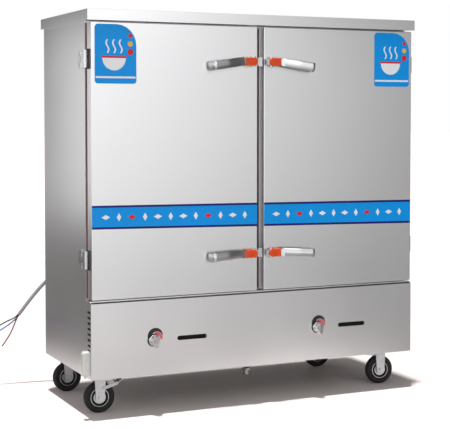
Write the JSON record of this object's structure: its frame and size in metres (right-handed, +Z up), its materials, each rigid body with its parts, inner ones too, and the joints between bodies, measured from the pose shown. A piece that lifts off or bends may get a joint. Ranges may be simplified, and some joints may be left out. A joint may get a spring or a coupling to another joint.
{
  "type": "rice steamer cabinet",
  "caption": "Stainless double-door steam cabinet on swivel casters, with lever latches, tray racks over a heated water tank, gas knobs and a bare-ended power cable.",
  "frame": {"origin": "on the floor, under the middle of the cabinet", "axes": "+X to the right seen from the front, +Y towards the back, +Z up"},
  "size_m": [1.5865, 0.8171, 1.53],
  "materials": {
    "body_stainless": "brushed",
    "liner_stainless": "satin",
    "frame_stainless": "satin",
    "tray_stainless": "satin",
    "heater_steel": "satin",
    "gasket_rubber": "matt",
    "insulation_wool": "fibrous",
    "burner_iron": "rough",
    "gas_brass": "satin",
    "stem_brass": "satin",
    "drain_brass": "plated",
    "drain_lever_paint": "gloss",
    "entry_plastic": "matt",
    "box_plastic": "gloss",
    "hinge_steel": "polished",
    "latch_chrome": "polished",
    "latch_plastic": "gloss",
    "knob_plastic": "metallised",
    "fastener_steel": "polished",
    "caster_zinc": "zinc plated",
    "rim_steel": "zinc plated",
    "tyre_rubber": "matt",
    "pedal_steel": "plated",
    "sheath_rubber": "matt",
    "core_black_pvc": "satin",
    "core_blue_pvc": "satin",
    "core_brown_pvc": "satin"
  },
  "bodies": {
    "cabinet": {"top_cover": "body_stainless", "left_side_panel": "body_stainless", "right_side_panel": "body_stainless", "back_panel": "body_stainless", "lower_front_panel": "body_stainless", "base_frame": "frame_stainless", "door_frame": "body_stainless", "chamber_liner": "liner_stainless", "insulation": "insulation_wool", "tray_racks": "liner_stainless", "steaming_trays": "tray_stainless", "water_tank": "liner_stainless", "gas_burners": "burner_iron", "gas_manifold": "gas_brass", "immersion_heaters": "heater_steel", "cable_entry": "entry_plastic", "drain_valve": "drain_brass", "ignition_box": "box_plastic", "cabinet_hardware": "hinge_steel", "caster_plates": "caster_zinc", "fasteners": "fastener_steel", "power_cable": "sheath_rubber", "core_black": "core_black_pvc", "core_blue": "core_blue_pvc", "core_brown": "core_brown_pvc"},
    "left_door": {"left_door_skin": "body_stainless", "left_door_liner": "liner_stainless", "left_door_gasket": "gasket_rubber", "left_door_hardware": "hinge_steel"},
    "upper_left_latch": {"upper_left_latch_lever": "latch_chrome", "upper_left_latch_cover": "latch_plastic"},
    "lower_left_latch": {"lower_left_latch_lever": "latch_chrome", "lower_left_latch_cover": "latch_plastic"},
    "left_stem": {"left_valve_stem": "stem_brass"},
    "left_control_knob": {"left_knob": "knob_plastic"},
    "right_door": {"right_door_skin": "body_stainless", "right_door_liner": "liner_stainless", "right_door_gasket": "gasket_rubber", "right_door_hardware": "hinge_steel"},
    "upper_right_latch": {"upper_right_latch_lever": "latch_chrome", "upper_right_latch_cover": "latch_plastic"},
    "lower_right_latch": {"lower_right_latch_lever": "latch_chrome", "lower_right_latch_cover": "latch_plastic"},
    "right_stem": {"right_valve_stem": "stem_brass"},
    "right_control_knob": {"right_knob": "knob_plastic"},
    "front_left_caster": {"front_left_caster_fork": "caster_zinc"},
    "front_left_wheel": {"front_left_caster_rim": "rim_steel", "front_left_caster_tyre": "tyre_rubber"},
    "front_left_brake": {"front_left_brake_pedal": "pedal_steel"},
    "rear_left_caster": {"rear_left_caster_fork": "caster_zinc"},
    "rear_left_wheel": {"rear_left_caster_rim": "rim_steel", "rear_left_caster_tyre": "tyre_rubber"},
    "rear_left_brake": {"rear_left_brake_pedal": "pedal_steel"},
    "front_right_caster": {"front_right_caster_fork": "caster_zinc"},
    "front_right_wheel": {"front_right_caster_rim": "rim_steel", "front_right_caster_tyre": "tyre_rubber"},
    "rear_right_caster": {"rear_right_caster_fork": "caster_zinc"},
    "rear_right_wheel": {"rear_right_caster_rim": "rim_steel", "rear_right_caster_tyre": "tyre_rubber"},
    "drain_handle": {"drain_lever": "drain_lever_paint"}
  },
  "joints": [
    {"name": "left_door_hinge", "type": "hinge", "parent": "cabinet", "child": "left_door", "pos_m": [-0.709, -0.228, 0.967], "axis": [0, 0, -1], "range_deg": [0, 170]},
    {"name": "upper_left_latch_pivot", "type": "hinge", "parent": "left_door", "child": "upper_left_latch", "pos_m": [-0.038, -0.309, 1.347], "axis": [0, 0, 1], "range_deg": [0, 30]},
    {"name": "lower_left_latch_pivot", "type": "hinge", "parent": "left_door", "child": "lower_left_latch", "pos_m": [-0.038, -0.309, 0.6], "axis": [0, 0, 1], "range_deg": [0, 30]},
    {"name": "left_stem_push", "type": "slide", "parent": "cabinet", "child": "left_stem", "axis": [0, 1, 0], "range_m": [0, 0.003], "stiffness_N_per_m": 500},
    {"name": "left_knob_turn", "type": "hinge", "parent": "left_stem", "child": "left_control_knob", "pos_m": [-0.452, -0.314, 0.288], "axis": [0, -1, 0], "range_deg": [0, 180]},
    {"name": "right_door_hinge", "type": "hinge", "parent": "cabinet", "child": "right_door", "pos_m": [0.709, -0.228, 0.967], "axis": [0, 0, 1], "range_deg": [0, 170]},
    {"name": "upper_right_latch_pivot", "type": "hinge", "parent": "right_door", "child": "upper_right_latch", "pos_m": [0.038, -0.309, 1.347], "axis": [0, 0, -1], "range_deg": [0, 30]},
    {"name": "lower_right_latch_pivot", "type": "hinge", "parent": "right_door", "child": "lower_right_latch", "pos_m": [0.038, -0.309, 0.6], "axis": [0, 0, -1], "range_deg": [0, 30]},
    {"name": "right_stem_push", "type": "slide", "parent": "cabinet", "child": "right_stem", "axis": [0, 1, 0], "range_m": [0, 0.003], "stiffness_N_per_m": 500},
    {"name": "right_knob_turn", "type": "hinge", "parent": "right_stem", "child": "right_control_knob", "pos_m": [0.254, -0.314, 0.288], "axis": [0, -1, 0], "range_deg": [0, 180]},
    {"name": "front_left_swivel", "type": "hinge", "parent": "cabinet", "child": "front_left_caster", "pos_m": [-0.59, -0.162, 0.128], "axis": [0, 0, 1], "continuous": true},
    {"name": "front_left_wheel_spin", "type": "hinge", "parent": "front_left_caster", "child": "front_left_wheel", "pos_m": [-0.62491, -0.15956, 0.06], "axis": [-0.0698, -0.9976, 0], "continuous": true},
    {"name": "front_left_brake_press", "type": "hinge", "parent": "front_left_caster", "child": "front_left_brake", "pos_m": [-0.61195, -0.16046, 0.097], "axis": [0.0698, 0.9976, 0], "range_deg": [0, 12]},
    {"name": "rear_left_swivel", "type": "hinge", "parent": "cabinet", "child": "rear_left_caster", "pos_m": [-0.59, 0.247, 0.128], "axis": [0, 0, 1], "continuous": true},
    {"name": "rear_left_wheel_spin", "type": "hinge", "parent": "rear_left_caster", "child": "rear_left_wheel", "pos_m": [-0.62491, 0.24456, 0.06], "axis": [0.0698, -0.9976, 0], "continuous": true},
    {"name": "rear_left_brake_press", "type": "hinge", "parent": "rear_left_caster", "child": "rear_left_brake", "pos_m": [-0.61195, 0.24546, 0.097], "axis": [-0.0698, 0.9976, 0], "range_deg": [0, 12]},
    {"name": "front_right_swivel", "type": "hinge", "parent": "cabinet", "child": "front_right_caster", "pos_m": [0.59, -0.162, 0.128], "axis": [0, 0, 1], "continuous": true},
    {"name": "front_right_wheel_spin", "type": "hinge", "parent": "front_right_caster", "child": "front_right_wheel", "pos_m": [0.62481, -0.16566, 0.06], "axis": [0.1045, 0.9945, 0], "continuous": true},
    {"name": "rear_right_swivel", "type": "hinge", "parent": "cabinet", "child": "rear_right_caster", "pos_m": [0.59, 0.247, 0.128], "axis": [0, 0, 1], "continuous": true},
    {"name": "rear_right_wheel_spin", "type": "hinge", "parent": "rear_right_caster", "child": "rear_right_wheel", "pos_m": [0.55534, 0.25187, 0.06], "axis": [-0.1392, -0.9903, 0], "continuous": true},
    {"name": "drain_handle_turn", "type": "hinge", "parent": "cabinet", "child": "drain_handle", "pos_m": [0.034, -0.121, 0.12], "axis": [0, -1, 0], "range_deg": [0, 90]}
  ]
}
